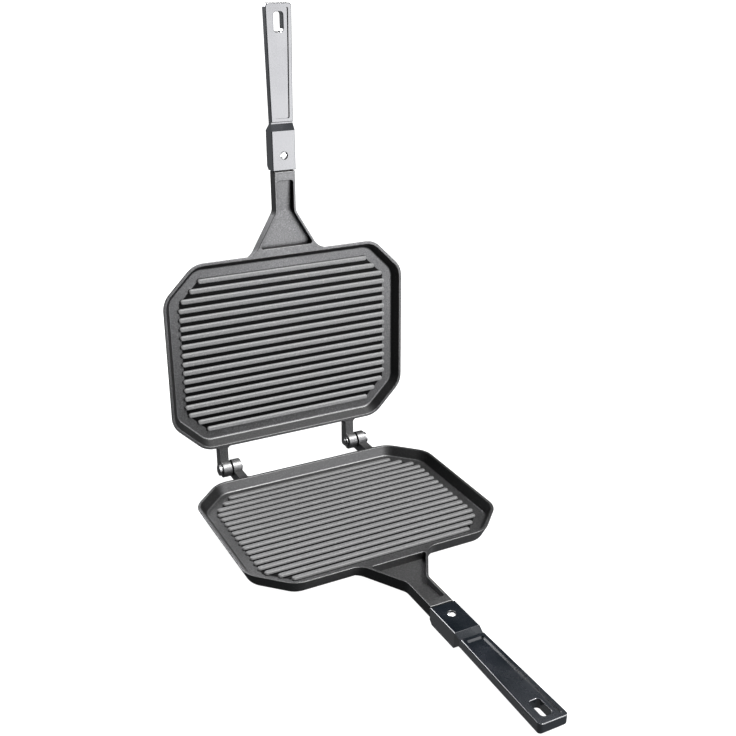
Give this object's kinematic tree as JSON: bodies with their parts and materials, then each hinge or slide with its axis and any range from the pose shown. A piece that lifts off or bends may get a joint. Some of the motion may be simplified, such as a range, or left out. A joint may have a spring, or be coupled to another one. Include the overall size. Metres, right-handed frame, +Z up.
{
  "type": "stovetop sandwich toaster",
  "caption": "Hinged octagonal cooking plates with raised bars and long black handles, standing open; closes over a sandwich and is turned over on the stove.",
  "frame": {"origin": "centre of the lower plate, on its flat resting face", "axes": "+Z up, handle of the lower plate towards -Y, hinge towards +Y, +X along the hinge axis"},
  "size_m": [0.2352, 0.4351, 0.4244],
  "materials": {
    "cast_plate": "satin dark grey non-stick coating",
    "handle_plastic": "polished black phenolic plastic",
    "bright_steel": "bright plated steel",
    "dark_steel": "blackened steel"
  },
  "bodies": {
    "lower": {"lower_plate": "cast_plate", "lower_handle": "handle_plastic", "lower_handle_screw": "bright_steel", "lower_handle_nut": "bright_steel", "hinge_pin_left": "dark_steel", "hinge_pin_right": "dark_steel", "pin_retainer_left": "dark_steel", "pin_retainer_right": "dark_steel"},
    "upper": {"upper_plate": "cast_plate", "upper_handle": "handle_plastic", "upper_handle_screw": "bright_steel", "upper_handle_nut": "bright_steel"}
  },
  "joints": [
    {"name": "lid_hinge", "type": "hinge", "parent": "lower", "child": "upper", "pos_m": [0, 0.11085, 0.0145], "axis": [1, 0, 0], "range_deg": [0, 92]}
  ]
}
